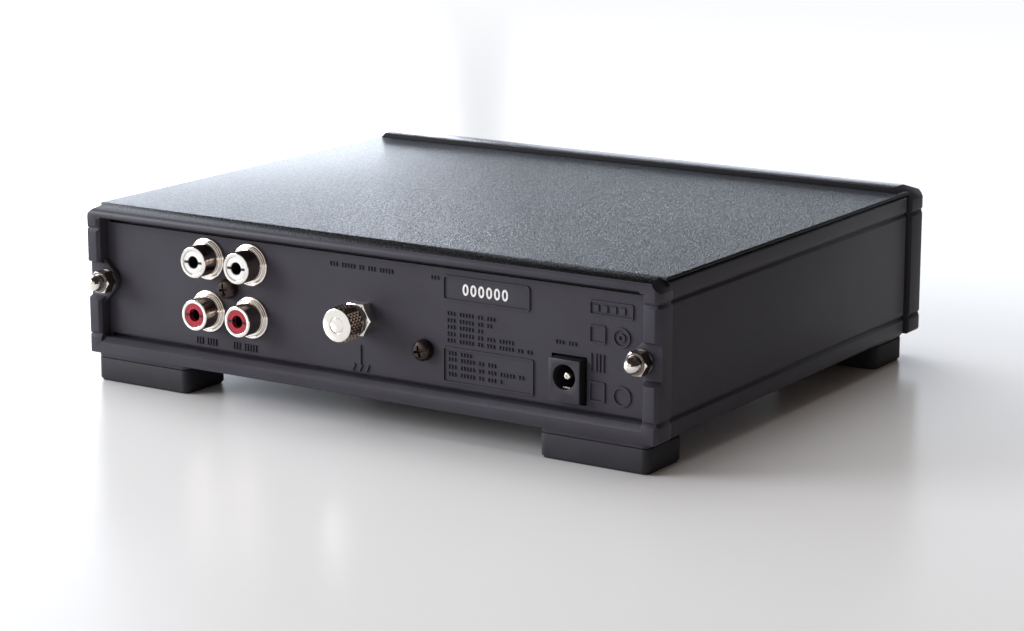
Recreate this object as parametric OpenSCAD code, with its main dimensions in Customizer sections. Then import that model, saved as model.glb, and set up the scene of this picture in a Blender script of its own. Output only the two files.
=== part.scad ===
// Phono preamp in a half-width moulded case, seen from its connector side.
// Frame: X across the case, +Y out of the connector side, +Z up, z = 0 on the table.
// Left is +X, as seen by somebody who faces the connectors.

/* [Case] */
// Width over the two end bezels
case_w = 180; // [170:1:230]
// Depth between the front face and the rear face
case_d = 148; // [140:1:200]
// Height of the top cover above the table
cover_top = 48.5; // [48:0.5:60]
// How far the case sides stand in from the bezels
side_inset = 0.8; // [0.4:0.1:1.4]
// Wall of the lower case
wall = 2.2; // [1.8:0.1:3]
// Floor of the lower case
floor_t = 2; // [1.4:0.1:2.2]
// Sheet of the top cover
sheet_t = 0.9; // [0.7:0.1:1.2]
// Dark joint between the cover and the case side below it
cover_gap = 0.4; // [0.2:0.1:0.6]

/* [Bezels] */
// Depth of the rear bezel along the case sides
rear_bezel_d = 6.9; // [6.5:0.1:9]
// Depth of the front bezel along the case sides
front_bezel_d = 7.5; // [7:0.1:12]
// Length of the front bezel's lip over the cover
front_lip_d = 5.5; // [3:0.5:12]
// Rise of the front bezel above the cover
front_rise = 1.5; // [1:0.1:2.5]
// Width of the shadow joint behind the front bezel
shadow_w = 2.2; // [1:0.1:3]
// Width of the bezel's side strips
strip_w = 4.6; // [4.4:0.1:4.8]
// Height of the rear bezel's top rail below its crown
crown_drop = 1.05; // [0.6:0.05:1.6]
// Face height of the rear bezel's top rail
top_rail = 1.85; // [1.6:0.05:2.4]
// Face height of the rear bezel's bottom rail
bottom_rail = 3.1; // [2.6:0.1:3.6]
// Leg of the chamfer on the top corners
corner = 3.2; // [2:0.1:4]
// Leg of the chamfer on the outer vertical edges
edge = 1; // [0.5:0.1:1.4]
// Depth of the side grooves
groove_t = 0.75; // [0.4:0.05:1]
// Half of the side grooves' mouth
groove_half = 0.8; // [0.5:0.05:1.2]
// Distance of each side groove from the top or the bottom of the side
groove_in = 5.1; // [4.6:0.1:6.5]

/* [Feet] */
// Height of the feet
foot_h = 6.8; // [4:0.1:10]
// Size of a foot across the case
foot_w = 31.3; // [20:0.1:33]
// Size of a foot along the case
foot_d = 17; // [12:0.5:24]
// Distance from the case side to a foot
foot_side = 2.7; // [2.5:0.1:10]
// Distance from the rear face to the rear feet
foot_rear = 0.4; // [0.4:0.1:6]
// Distance from the front face to the front feet
foot_front = 5.7; // [0.5:0.1:8]
// Radius of the feet's corners
foot_r = 2; // [1:0.25:4]
// Thickness of the pads under the case that carry the feet
pad_t = 1; // [0.6:0.1:1.5]

/* [Connector panel] */
// Depth of the panel behind the rear face
recess = 4; // [3:0.1:5]
// Thickness of the panel
panel_t = 2; // [1.6:0.1:2.2]
// How far the panel reaches behind the bezel's rails
panel_lap = 1.2; // [0.8:0.1:1.3]
// Clearance round pieces that are set into an opening
fit = 0.15; // [0.1:0.05:0.25]

/* [Phono sockets] */
// Distance from the case side to the centre of the socket block
jack_in = 46.6; // [30:0.2:56]
// How far the block's centre lies above the middle between the board and the window's top
jack_up = 0.2; // [-0.5:0.1:0.2]
// Distance between the two columns of sockets
jack_pitch_x = 14.4; // [14:0.1:16]
// Distance between the two rows of sockets
jack_pitch_z = 14.3; // [14:0.1:15]
// Radius of a socket barrel
barrel_r = 4.2; // [4.1:0.05:4.3]
// Length of a socket barrel in front of the panel
barrel_out = 6.4; // [5:0.1:9]
// Radius of the round flange on the panel
flange_r = 5.7; // [5.3:0.05:5.9]
// Radius of the coloured insert
insert_r = 3.1; // [2.9:0.05:3.3]
// Radius of the hole for the plug's centre pin
pin_hole_r = 1.65; // [1.6:0.05:1.8]

/* [Ground terminal] */
// Place of the terminal across the case
ground_x = 0; // [-8:0.5:8]
// Radius of the threaded stud
stud_r = 2; // [1.5:0.25:2]
// Width across flats of the fixed hexagon nut
ground_flats = 8.3; // [8:0.1:9]
// Thickness of the fixed hexagon nut
ground_nut_t = 3.5; // [2.5:0.1:4]
// Radius of the knurled thumb nut
thumb_r = 4.8; // [4.6:0.1:6]
// Length of the knurled thumb nut with its collar
thumb_l = 7.1; // [6:0.1:8]
// Number of teeth round the thumb nut
thumb_teeth = 32; // [24:1:40]
// How far the heads of the panel screws stand out of the panel
screw_out = 3; // [1.6:0.1:3.2]

/* [Power inlet] */
// Distance from the case side to the centre of the inlet
inlet_in = 27.4; // [24:0.2:34]
// Width of the inlet housing
inlet_w = 9; // [8.6:0.1:9.4]
// Height of the inlet housing
inlet_h = 11; // [10.6:0.1:11.6]
// Length of the inlet housing
inlet_l = 14; // [13:0.5:16]
// Gap between the inlet housing and its opening
inlet_gap = 0.6; // [0.3:0.1:0.8]
// How far the inlet stands out of the panel
inlet_out = 2.5; // [1:0.1:3.5]
// Radius of the inlet's round hole
inlet_hole_r = 3.2; // [3:0.05:3.4]
// Radius of the inlet's centre pin
inlet_pin_r = 1.05; // [0.8:0.05:1.25]

/* [Circuit board] */
// Distance from the case side to the circuit board
board_side = 15; // [11:0.5:17]
// Depth of the circuit board
board_d = 122; // [118:1:124]
// Thickness of the circuit board
board_t = 1.6; // [1.2:0.1:1.8]
// Height of the posts below the circuit board
post_h = 3.2; // [2.8:0.1:3.4]

/* [Front] */
// Thickness of the front fascia
fascia_t = 3; // [2:0.1:4]
// Depth of the fascia behind the front face
fascia_in = 1; // [0.5:0.1:1.5]
// Distance from the case side to the centre of the power button
button_in = 28; // [24:0.5:34]
// Radius of the power button
button_r = 4.5; // [3.5:0.1:5]
// How far the power button stands out of the front face
button_out = 1.5; // [1:0.1:2.5]
// Travel of the power button
button_travel = 2.5; // [1.5:0.1:3]
// Radius of the light guide
light_r = 1.5; // [1:0.1:2]
// Distance between the power button and the light guide
light_in = 14; // [12:0.5:20]

/* [Board parts] */
// Radius of the supply capacitors
can_r = 5; // [4:0.25:6]
// Height of the supply capacitors
can_h = 20; // [16:0.5:25]
// Radius of the signal capacitors
small_can_r = 3.2; // [2.5:0.1:4]
// Height of the signal capacitors
small_can_h = 11.5; // [9:0.5:16]
// Width of a film capacitor
film_w = 4.8; // [3:0.1:6]
// Length of a film capacitor
film_l = 10; // [7:0.5:12]
// Height of a film capacitor
film_h = 9; // [6:0.5:12]
// Width of an amplifier chip's body
chip_w = 6.4; // [6:0.1:7]
// Length of an amplifier chip's body
chip_l = 9.6; // [9:0.1:10]
// Radius of a resistor
resistor_r = 1.2; // [0.8:0.1:1.3]
// Length of a resistor's body
resistor_l = 6; // [4:0.5:7]
// Width of the heat sink
sink_w = 32; // [28:1:40]
// Height of the heat sink
sink_h = 24; // [20:1:28]
// Depth of the heat sink with its fins
sink_d = 12; // [8:0.5:14]
// Width of the relay
relay_w = 20; // [15:0.5:22]
// Depth of the relay
relay_d = 10; // [8:0.5:12]
// Height of the relay
relay_h = 10; // [8:0.5:14]

// Distance from the board's rear edge to the row of supply capacitors
can_back = 34; // [33:0.5:35]
// Distance from the board's rear edge to the row of signal capacitors
small_can_back = 66; // [65:0.5:67]
// Distance from the board's rear edge to the row of film capacitors
film_back = 36; // [35:0.5:37]
// Distance from the board's rear edge to the row of amplifier chips
chip_back = 50; // [49:0.5:51]
// Distance from the board's rear edge to the row of resistors
resistor_back = 82; // [81:0.5:83]
// Distance between the two voltage regulators
regulator_pitch = 16; // [14:0.5:17]
// Width of a voltage regulator
regulator_w = 9.2; // [8.6:0.1:9.6]
// Height of a voltage regulator's body above the board
regulator_h = 18; // [15:0.5:19]
// Distance from the board's rear edge to the heat sink's face
sink_back = 62; // [61:0.5:63]
// Gap between two supply capacitors
can_gap = 4; // [2:0.5:5]
// Distance between two signal capacitors
small_can_pitch = 12; // [10:0.5:12]
// Distance between two film capacitors
film_pitch = 9; // [7:0.5:9]
// Distance between the two amplifier chips
chip_pitch = 28; // [24:0.5:30]
// Distance between two resistors
resistor_pitch = 5; // [4:0.5:5]

/* [Tie rods] */
// Radius of the tie rods
rod_r = 1.5; // [1.25:0.05:1.5]
// Distance of the tie rods from the case side
rod_in = 5.6; // [5.5:0.1:5.9]
// Width across flats of the dome nuts
dome_flats = 5.7; // [5.5:0.1:6]
// Height of the notches beside the dome nuts
notch_h = 11; // [10:0.5:12]
// Depth of the notches behind the rear face
notch_t = 2.3; // [2:0.1:2.6]
// How much narrower a notch is at its floor, at each end
notch_slope = 1; // [0.5:0.1:1.4]
// Thickness of the dome nuts' hexagon
dome_hex_t = 3.2; // [2.4:0.1:3.4]
// Radius of the dome nuts' dome
dome_r = 2.1; // [1.9:0.05:2.3]

/* [Hidden] */
$fn = 64;
e = 0.5; // overshoot of cutting shapes
slip = 0.05; // radial clearance of a turned fit
half_w = case_w / 2;
rear_y = case_d / 2;
front_y = -case_d / 2;
rear_seam = rear_y - rear_bezel_d;
front_seam = front_y + front_bezel_d;
shell_front = front_seam + shadow_w;
shell_half = half_w - side_inset;
inner_half = shell_half - wall;
base_z = foot_h + pad_t;
floor_z = base_z + floor_t;
sheet_z = cover_top - sheet_t;
band_z = sheet_z - cover_gap;
front_top = cover_top + front_rise;
groove_low = base_z + groove_in;
groove_high = band_z - groove_in + 0.2;
win_half = half_w - strip_w;
win_low = base_z + bottom_rail + 1.4;
win_high = cover_top - crown_drop - top_rail;
panel_y = rear_y - recess;
panel_back = panel_y - panel_t;
rod_x = half_w - rod_in;
mid_z = (win_low + win_high) / 2 - 1.1;
notch_y = rear_y - notch_t;
dome_y = notch_y + 0.5 + dome_hex_t; // front of the dome nuts' hexagon
boss_r = 3.4; // round boss under each dome nut
pad_x = win_half + 0.2; // outer edge of the pads beside the bosses
pad_half = boss_r * sqrt(2) + pad_x - rod_x;
jack_x = half_w - jack_in;
inlet_x = inlet_in - half_w;
button_x = button_in - half_w;
board_w = case_w - 2 * board_side;
board_z = floor_z + post_h;
board_top = board_z + board_t;
board_back = panel_back - 1.4;
board_front = board_back - board_d;
jack_z = (board_top + win_high) / 2 + jack_up;
socket_z = board_top + 6.5; // height of the inlet's hole and the button
barrel_y = panel_y + barrel_out;
block_y = panel_back - 13;
seat_y = panel_back - 8; // rear end of the socket barrels
ground_y = panel_y + ground_nut_t;
washer_t = 0.6;
washer_y = ground_y + 0.1;
thumb_y = washer_y + washer_t + slip;
rear_reach = max(thumb_y + thumb_l, barrel_y);
front_reach = front_y - button_out;
shift_y = -(rear_reach + front_reach) / 2;
fascia_y = front_y + fascia_in;
fascia_back = fascia_y + fascia_t;
light_x = button_x + light_in;
switch_y = board_front + 14; // front of the power switch

plastic = [0.2, 0.2, 0.22];
metal = [0.86, 0.85, 0.83];

// ---- helpers ----

// A drawing in X and Z, made solid from y0 to y1
module along_y(y0, y1) translate([0, y1, 0]) rotate([90, 0, 0]) linear_extrude(y1 - y0) children();

// A drawing in Y and Z, made solid from x0 to x1
module along_x(x0, x1) translate([x0, 0, 0]) rotate([90, 0, 90]) linear_extrude(x1 - x0) children();

// A round bar along Y
module bar_y(x, z, y0, y1, r, n = $fn)
    translate([x, y1, z]) rotate([90, 0, 0]) cylinder(h = y1 - y0, r = r, $fn = n);

// A box between two corners
module box(low, high) translate(low) cube(high - low);

// The child and its mirror image across the case
module both_sides() {
    children();
    mirror([1, 0, 0]) children();
}

// Everything is drawn about the case's centre and moved so that the origin is below the whole
module place() translate([0, shift_y, 0]) children();

// A rectangle with round corners
module round_rect(w, d, r) {
    square([w - 2 * r, d], center = true);
    square([w, d - 2 * r], center = true);
    for (sx = [-1, 1], sy = [-1, 1])
        translate([sx * (w / 2 - r), sy * (d / 2 - r)]) circle(r = r);
}

// Outline of the case in X and Z, with a groove along each side near the top and the bottom
function side_line(half, top, cut) = [
    [half - 0.7, base_z], [half, base_z + 0.7],
    [half, groove_low - groove_half], [half - groove_t, groove_low], [half, groove_low + groove_half],
    [half, groove_high - groove_half], [half - groove_t, groove_high], [half, groove_high + groove_half],
    [half, top - cut], [half - cut, top]];

module outline(half, top, cut) {
    side = side_line(half, top, cut);
    other = [for (i = [len(side) - 1 : -1 : 0]) [-side[i][0], side[i][1]]];
    polygon(concat(side, other));
}

// A square bar with its edge on the line, which cuts a chamfer of the given leg
module chamfer_bar(leg, l) rotate([0, 0, 45]) cube([leg * sqrt(2), leg * sqrt(2), l], center = true);

module outer_edges(y) both_sides() translate([half_w, y, 0]) chamfer_bar(edge, 4 * cover_top);

// The raised pads under the case, over the feet
function foot_y(rear) = rear ? rear_y - foot_rear - foot_d / 2 : front_y + foot_front + foot_d / 2;
foot_x = half_w - foot_side - foot_w / 2;

module foot_pads(y0, y1) both_sides() for (rear = [true, false])
    intersection() {
        translate([foot_x, foot_y(rear), foot_h])
            linear_extrude(pad_t + e) round_rect(foot_w, foot_d, foot_r);
        box([0, y0, 0], [half_w, y1, base_z + e]);
    }

// ---- case ----

module lower_case() color(plastic) place() {
    difference() {
        union() {
            along_y(shell_front, rear_seam) outline(shell_half, band_z, 0.3);
            foot_pads(shell_front, rear_seam);
        }
        box([-inner_half, shell_front - e, floor_z], [inner_half, rear_seam + e, cover_top]);
    }
    // tunnels that guide the tie rods and stiffen the sides
    both_sides() difference() {
        union() {
            bar_y(rod_x, mid_z, shell_front, rear_seam, rod_r + 1.5);
            box([rod_x, shell_front, mid_z - 1.2], [inner_half + 0.2, rear_seam, mid_z + 1.2]);
        }
        bar_y(rod_x, mid_z, shell_front - e, rear_seam + e, rod_r + 0.2);
    }
    // ledges that carry the cover's flanges
    both_sides()
        box([inner_half - 2.6, shell_front, band_z - 7.8], [inner_half + 0.2, rear_seam, band_z - 6.8]);
    for (p = post_places()) translate([p[0], p[1], floor_z]) difference() {
        translate([0, 0, -0.2]) cylinder(h = post_h + 0.2, r = 3);
        translate([0, 0, 0.4]) cylinder(h = post_h, r = 1.25 + slip);
    }
}

function post_places() = [for (sx = [-1, 1], y = [board_front + 5, board_back - 22])
    [sx * (board_w / 2 - 5), y]];

module top_cover() color([0.55, 0.58, 0.66]) place() {
    box([-shell_half, front_seam + 0.3, sheet_z], [shell_half, rear_y - 5.7, cover_top]);
    // folded flanges that stand on the ledges of the lower case
    both_sides() box([inner_half - 0.3 - sheet_t, shell_front + 1, band_z - 6.8],
        [inner_half - 0.3, rear_seam - 1, sheet_z]);
}

module rear_bezel() color(plastic) place() {
    difference() {
        union() {
            along_y(rear_seam, rear_y) outline(half_w, cover_top, corner);
            foot_pads(rear_seam, rear_y);
        }
        // seat of the cover's rear edge
        box([-case_w, rear_seam - e, sheet_z - 0.1], [case_w, rear_y - 5.5, cover_top + e]);
        // sloping crown above the top rail
        along_x(-case_w, case_w) polygon([[rear_y - 5.5, cover_top], [rear_y, cover_top - crown_drop],
            [rear_y + e, cover_top - crown_drop], [rear_y + e, cover_top + e],
            [rear_y - 5.5, cover_top + e]]);
        // window and the wider seat of the panel behind it
        along_y(panel_y - e, rear_y + e) rear_window(win_half, win_low, win_high);
        along_y(rear_seam - e, panel_y)
            window(win_half + panel_lap + fit, win_low - panel_lap - fit, win_high + panel_lap + fit);
        // slope at the window's foot and small slopes at its sides
        along_x(-win_half, win_half) polygon([[rear_y - 1.4 - e, win_low + e],
            [rear_y + e, win_low - 1.4 - e], [rear_y + e, win_low + e]]);
        both_sides() translate([win_half, rear_y, (win_low + win_high) / 2])
            chamfer_bar(0.8, win_high - win_low - 1.2);
        outer_edges(rear_y);
        // notches with sloping ends beside the dome nuts
        both_sides() along_x(win_half - e, half_w + e) polygon([
            [notch_y, mid_z - notch_h / 2 + notch_slope], [rear_y, mid_z - notch_h / 2],
            [rear_y + e, mid_z - notch_h / 2], [rear_y + e, mid_z + notch_h / 2],
            [rear_y, mid_z + notch_h / 2], [notch_y, mid_z + notch_h / 2 - notch_slope]]);
        // the side grooves run on across the strips beside the window
        both_sides() for (z = [groove_low, groove_high]) along_x(win_half - e, half_w + e)
            polygon([[rear_y - groove_t, z], [rear_y + e, z - groove_half * (1 + e / groove_t)],
                [rear_y + e, z + groove_half * (1 + e / groove_t)]]);
        // holes of the tie rods
        both_sides() bar_y(rod_x, mid_z, panel_y - e, rear_y, rod_r + 0.2);
    }
    // pads with a round boss round each dome nut
    both_sides() difference() {
        along_y(panel_y, notch_y) {
            // its sides meet the boss at 45 degrees
            polygon([[pad_x, mid_z - pad_half], [pad_x, mid_z + pad_half],
                [rod_x - boss_r / sqrt(2), mid_z + boss_r / sqrt(2)],
                [rod_x - boss_r / sqrt(2), mid_z - boss_r / sqrt(2)]]);
            translate([rod_x, mid_z]) circle(r = boss_r);
        }
        bar_y(rod_x, mid_z, panel_y - e, rear_y, rod_r + 0.2);
    }
}

// The rear window, with its top corners cut off
module rear_window(half, low, high) polygon([[-half, low], [half, low], [half, high - 1.2],
    [half - 0.9, high], [0.9 - half, high], [-half, high - 1.2]]);

module window(half, low, high) polygon([[-half, low], [half, low], [half, high], [-half, high]]);

module front_bezel() color(plastic) place() {
    difference() {
        union() {
            along_y(front_y, front_seam) outline(half_w, front_top, corner + 0.6);
            // lip over the front edge of the cover
            intersection() {
                along_y(front_seam - e, front_seam + front_lip_d) outline(half_w, front_top, corner + 0.6);
                box([-case_w, front_y, cover_top + slip], [case_w, 0, 2 * cover_top]);
            }
            // spigot that meets the lower case inside the shadow joint
            along_y(front_seam - e, shell_front) outline(shell_half - 1.3, band_z - 1, 0.3);
            foot_pads(front_y, shell_front);
        }
        // room for the cover's front edge
        box([-shell_half - fit, front_seam, sheet_z - 0.1],
            [shell_half + fit, shell_front + e, cover_top + slip]);
        // slope of the crown towards the front face
        along_x(-case_w, case_w) polygon([[front_y + 6, front_top], [front_y, front_top - 2],
            [front_y - e, front_top - 2], [front_y - e, front_top + e], [front_y + 6, front_top + e]]);
        along_y(front_y - e, fascia_back) window(win_half, win_low - 1.4, win_high + 0.4);
        difference() {
            along_y(fascia_back - e, shell_front + e) window(win_half - 1.4, win_low - 0.3, win_high - 1);
            both_sides() bar_y(rod_x, mid_z, fascia_back - 2 * e, shell_front + 2 * e, 4.8);
        }
        // blind threaded holes for the tie rods
        both_sides() bar_y(rod_x, mid_z, fascia_back - e, shell_front + e, rod_r + slip);
        outer_edges(front_y);
    }
}

module rear_panel() color(plastic) place() difference() {
    along_y(panel_back, panel_y)
        window(win_half + panel_lap, win_low - panel_lap, win_high + panel_lap);
    for (p = jack_places()) bar_y(p[0], p[1], panel_back - e, panel_y + e, barrel_r + 0.2);
    for (p = screw_places()) bar_y(p[0], p[1], panel_back - e, panel_y + e, 1.6);
    bar_y(ground_x, mid_z, panel_back - e, panel_y + e, stud_r + 0.1);
    both_sides() bar_y(rod_x, mid_z, panel_back - e, panel_y + e, rod_r + 0.2);
    along_y(panel_back - e, panel_y + e) translate([inlet_x, board_top + inlet_h / 2])
        square([inlet_w + 2 * inlet_gap, inlet_h + 2 * inlet_gap], center = true);
}

module front_fascia() color(plastic) place() difference() {
    along_y(fascia_y, fascia_back) window(win_half - fit, win_low - 1.4 + fit, win_high + 0.4 - fit);
    bar_y(button_x, socket_z, fascia_y - e, fascia_back + e, button_r + 0.2);
    bar_y(light_x, socket_z, fascia_y - e, fascia_back + e, light_r + 0.1);
}

// Moulded rubber foot with round corners and a shallow bevel at the floor
module foot(side, rear) color([0.3, 0.3, 0.31]) place()
    translate([side * foot_x, foot_y(rear), 0]) {
        linear_extrude(0.6) round_rect(foot_w - 1, foot_d - 1, foot_r - 0.5);
        translate([0, 0, 0.6]) linear_extrude(foot_h - 0.6) round_rect(foot_w, foot_d, foot_r);
    }

// ---- tie rods ----

module tie_rods() color(metal) place()
    both_sides() bar_y(rod_x, mid_z, fascia_back, dome_y, rod_r);

module dome_nuts() color(metal) place() both_sides() difference() {
    union() {
        bar_y(rod_x, mid_z, notch_y + 0.5, dome_y, dome_flats / sqrt(3), 6);
        bar_y(rod_x, mid_z, dome_y - 1, dome_y + 1.4, dome_r);
        translate([rod_x, dome_y + 1.4, mid_z]) sphere(r = dome_r);
    }
    bar_y(rod_x, mid_z, notch_y, dome_y + 0.5, rod_r + slip);
}

module nut_washers() color(metal) place() both_sides() difference() {
    bar_y(rod_x, mid_z, notch_y, notch_y + 0.5, 3.1);
    bar_y(rod_x, mid_z, notch_y - e, notch_y + e + 0.5, rod_r + 0.1);
}

// ---- phono sockets ----

function jack_at(column, row) = [jack_x + column * jack_pitch_x / 2, jack_z + row * jack_pitch_z / 2];

function jack_places() = [for (c = [-1, 1], r = [-1, 1]) jack_at(c, r)];

module phono_block() color(plastic) place() difference() {
    box([jack_x - jack_pitch_x / 2 - 6, block_y, board_top],
        [jack_x + jack_pitch_x / 2 + 6, panel_back, jack_z + jack_pitch_z / 2 + 6]);
    for (p = jack_places()) {
        bar_y(p[0], p[1], seat_y, panel_back + e, barrel_r + slip);
        bar_y(p[0], p[1], block_y - e, seat_y + e, 1.5);
    }
    bar_y(jack_x, jack_z, panel_back - 7, panel_back + e, 1.4);
}

module phono_shell(column, row) color(metal) place() {
    p = jack_at(column, row);
    difference() {
        union() {
            bar_y(p[0], p[1], panel_y, panel_y + 0.7, flange_r);
            bar_y(p[0], p[1], panel_y, panel_y + 1.3, barrel_r + 0.7);
            bar_y(p[0], p[1], seat_y, barrel_y - 0.3, barrel_r);
            bar_y(p[0], p[1], barrel_y - 1, barrel_y, barrel_r - 0.3);
        }
        bar_y(p[0], p[1], seat_y - e, barrel_y + e, insert_r + slip);
    }
}

module phono_insert(column, row) color(row > 0 ? [0.93, 0.93, 0.92] : [0.75, 0.1, 0.14]) place() {
    p = jack_at(column, row);
    difference() {
        bar_y(p[0], p[1], seat_y, barrel_y - 0.2, insert_r);
        bar_y(p[0], p[1], seat_y - e, barrel_y + e, pin_hole_r);
        box([p[0] - insert_r, barrel_y - 4, p[1] - 0.22], [p[0] + insert_r, barrel_y + e, p[1] + 0.22]);
    }
}

module phono_contacts() color([0.8, 0.7, 0.4]) place()
    for (c = [-1, 1], r = [-1, 1]) phono_contact(c, r);

// Spring tube behind the pin hole, with a leg down to the board behind the block
module phono_contact(column, row) {
    p = jack_at(column, row);
    leg_x = p[0] + (row > 0 ? 4 : 0);
    difference() {
        bar_y(p[0], p[1], block_y - 0.8, seat_y + 6, 1.4);
        bar_y(p[0], p[1], seat_y, seat_y + 7, 1);
    }
    box([p[0] - 0.8, block_y - 0.8, p[1] - 0.8], [leg_x + 0.8, block_y - 0.2, p[1] + 0.8]);
    box([leg_x - 0.8, block_y - 0.8, board_top], [leg_x + 0.8, block_y - 0.2, p[1] + 0.8]);
}

// ---- panel screws ----

function screw_places() = [[jack_x, jack_z], [ground_x - 19.4, mid_z - 5.95]];

module panel_screws() color([0.12, 0.11, 0.11]) place() for (p = screw_places())
    difference() {
        union() {
            bar_y(p[0], p[1], panel_y, panel_y + screw_out - 0.7, 2.75);
            bar_y(p[0], p[1], panel_y, panel_y + screw_out, 2.1);
            bar_y(p[0], p[1], panel_back - 5, panel_y + 1, 1.35);
        }
        for (a = [0, 90]) translate([p[0], panel_y + screw_out, p[1]]) rotate([0, a + 20, 0])
            cube([3, 2.4, 0.6], center = true);
    }

// Angle bracket that ties the panel to the board
module panel_bracket() color([0.7, 0.7, 0.7]) place() {
    p = screw_places()[1];
    difference() {
        box([p[0] - 5, panel_back - 1.6, board_top], [p[0] + 5, panel_back, p[1] + 5]);
        bar_y(p[0], p[1], panel_back - 4, panel_back + e, 1.4);
    }
    box([p[0] - 5, panel_back - 12, board_top], [p[0] + 5, panel_back - 1, board_top + 1.6]);
}

// ---- ground terminal ----

module ground_stud() color(metal) place() {
    bar_y(ground_x, mid_z, panel_back - 3, panel_back - 0.7, stud_r * 1.75, 6);
    bar_y(ground_x, mid_z, panel_back - 1, thumb_y + thumb_l - 0.1, stud_r);
}

module ground_lug() color([0.8, 0.8, 0.75]) place() {
    difference() {
        union() {
            bar_y(ground_x, mid_z, panel_back - 0.7, panel_back, stud_r + 2);
            box([ground_x - 2, panel_back - 0.7, board_top], [ground_x + 2, panel_back, mid_z]);
        }
        bar_y(ground_x, mid_z, panel_back - 2, panel_y, stud_r + 0.1);
    }
    box([ground_x - 2, panel_back - 5, board_top], [ground_x + 2, panel_back, board_top + 0.7]);
}

module ground_hex_nut() color(metal) place() difference() {
    translate([ground_x, ground_y, mid_z]) rotate([90, 0, 0])
        cylinder(h = ground_nut_t, r = ground_flats / sqrt(3), $fn = 6);
    bar_y(ground_x, mid_z, panel_y - e, ground_y + e, stud_r + slip);
}

module ground_washer() color(metal) place() difference() {
    bar_y(ground_x, mid_z, washer_y, washer_y + washer_t, thumb_r - 0.8);
    bar_y(ground_x, mid_z, washer_y - e, washer_y + washer_t + e, stud_r + 0.1);
}

// Knurled nut: straight teeth between two plain rims
module ground_thumb_nut() color(metal) place() difference() {
    union() {
        bar_y(ground_x, mid_z, thumb_y, thumb_y + 1.5, thumb_r - 0.35);
        translate([ground_x, thumb_y + thumb_l - 0.3, mid_z]) rotate([90, 0, 0])
            linear_extrude(thumb_l - 1.8) knurl(thumb_r, 0.3, thumb_teeth);
        bar_y(ground_x, mid_z, thumb_y + 1, thumb_y + thumb_l, thumb_r - 0.3);
    }
    bar_y(ground_x, mid_z, thumb_y - e, thumb_y + thumb_l + e, stud_r + slip);
}

module knurl(r, depth, teeth)
    polygon([for (i = [0 : 2 * teeth - 1])
        let (a = i * 180 / teeth, s = i % 2 == 0 ? r : r - depth) [s * cos(a), s * sin(a)]]);

// ---- power inlet ----

module inlet_housing() color([0.1, 0.1, 0.1]) place() {
    front = panel_y + inlet_out;
    difference() {
        box([inlet_x - inlet_w / 2, front - inlet_l, board_top],
            [inlet_x + inlet_w / 2, front, board_top + inlet_h]);
        bar_y(inlet_x, socket_z, front - 9.5, front + e, inlet_hole_r);
        bar_y(inlet_x, socket_z, front - inlet_l - e, front - 9, inlet_pin_r + 0.5);
    }
}

module inlet_pin() color(metal) place() {
    front = panel_y + inlet_out;
    bar_y(inlet_x, socket_z, front - inlet_l - 0.6, front - 1.2 - inlet_pin_r, inlet_pin_r);
    translate([inlet_x, front - 1.2 - inlet_pin_r, socket_z]) sphere(r = inlet_pin_r);
    // rear tab that is soldered to the board
    box([inlet_x - 1.4, front - inlet_l - 0.8, board_top],
        [inlet_x + 1.4, front - inlet_l - 0.2, socket_z + 1]);
}

// Side spring and its soldering tab, beside the housing
module inlet_contacts() color([0.8, 0.8, 0.75]) place()
    box([inlet_x + inlet_w / 2, panel_back - 7, board_top],
        [inlet_x + inlet_w / 2 + 0.5, panel_back - 3, board_top + 5]);

// ---- circuit board ----

module circuit_board() color([0.05, 0.3, 0.16]) place() difference() {
    box([-board_w / 2, board_front, board_z], [board_w / 2, board_back, board_top]);
    for (p = post_places()) translate([p[0], p[1], board_z - e]) cylinder(h = board_t + 2 * e, r = 1.6);
}

module board_screws() color([0.75, 0.75, 0.75]) place() for (p = post_places())
    translate([p[0], p[1], 0]) {
        translate([0, 0, board_top]) cylinder(h = 1.8, r = 2.7);
        translate([0, 0, board_top - board_t - 2]) cylinder(h = board_t + 2.2, r = 1.25);
    }

// ---- front controls ----

module power_switch() color([0.25, 0.25, 0.25]) place() difference() {
    box([button_x - 5, switch_y, board_top], [button_x + 5, switch_y + 12, socket_z + 4]);
    box([button_x - 1.7, switch_y - e, socket_z - 1.7], [button_x + 1.7, switch_y + 8, socket_z + 1.7]);
}

module switch_plunger() color([0.9, 0.9, 0.88]) place()
    box([button_x - 1.5, front_y + 7, socket_z - 1.5], [button_x + 1.5, switch_y + 4, socket_z + 1.5]);

module power_button() color([0.15, 0.15, 0.16]) place() {
    bar_y(button_x, socket_z, front_reach + 0.4, front_y + 7, button_r);
    bar_y(button_x, socket_z, front_reach, front_reach + 1, button_r - 0.4);
}

module light_guide() color([0.9, 0.95, 1, 0.6]) place()
    bar_y(light_x, socket_z, fascia_y, board_front + 6, light_r);

module indicator_lamp() color([0.3, 0.5, 0.95]) place() {
    bar_y(light_x, socket_z, board_front + 6.2, board_front + 10, 1.9);
    box([light_x - 1.9, board_front + 8, board_top], [light_x + 1.9, board_front + 10.5, socket_z]);
}

// ---- parts on the board ----

// A can that stands on the board, with a rolled rim near its foot
module can(x, y, r, h) translate([x, y, board_top]) {
    cylinder(h = 1.2, r = r);
    cylinder(h = h, r = r - 0.25);
    translate([0, 0, 2]) cylinder(h = h - 2.4, r = r);
}

module electrolytic_capacitors() color([0.15, 0.16, 0.3]) place() {
    for (i = [0 : 3]) can(inlet_x + 14 + (2 * can_r + can_gap) * i, board_back - can_back, can_r, can_h);
    for (i = [0 : 3])
        can(jack_x + small_can_pitch * (i - 1.5), board_back - small_can_back, small_can_r, small_can_h);
}

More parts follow.
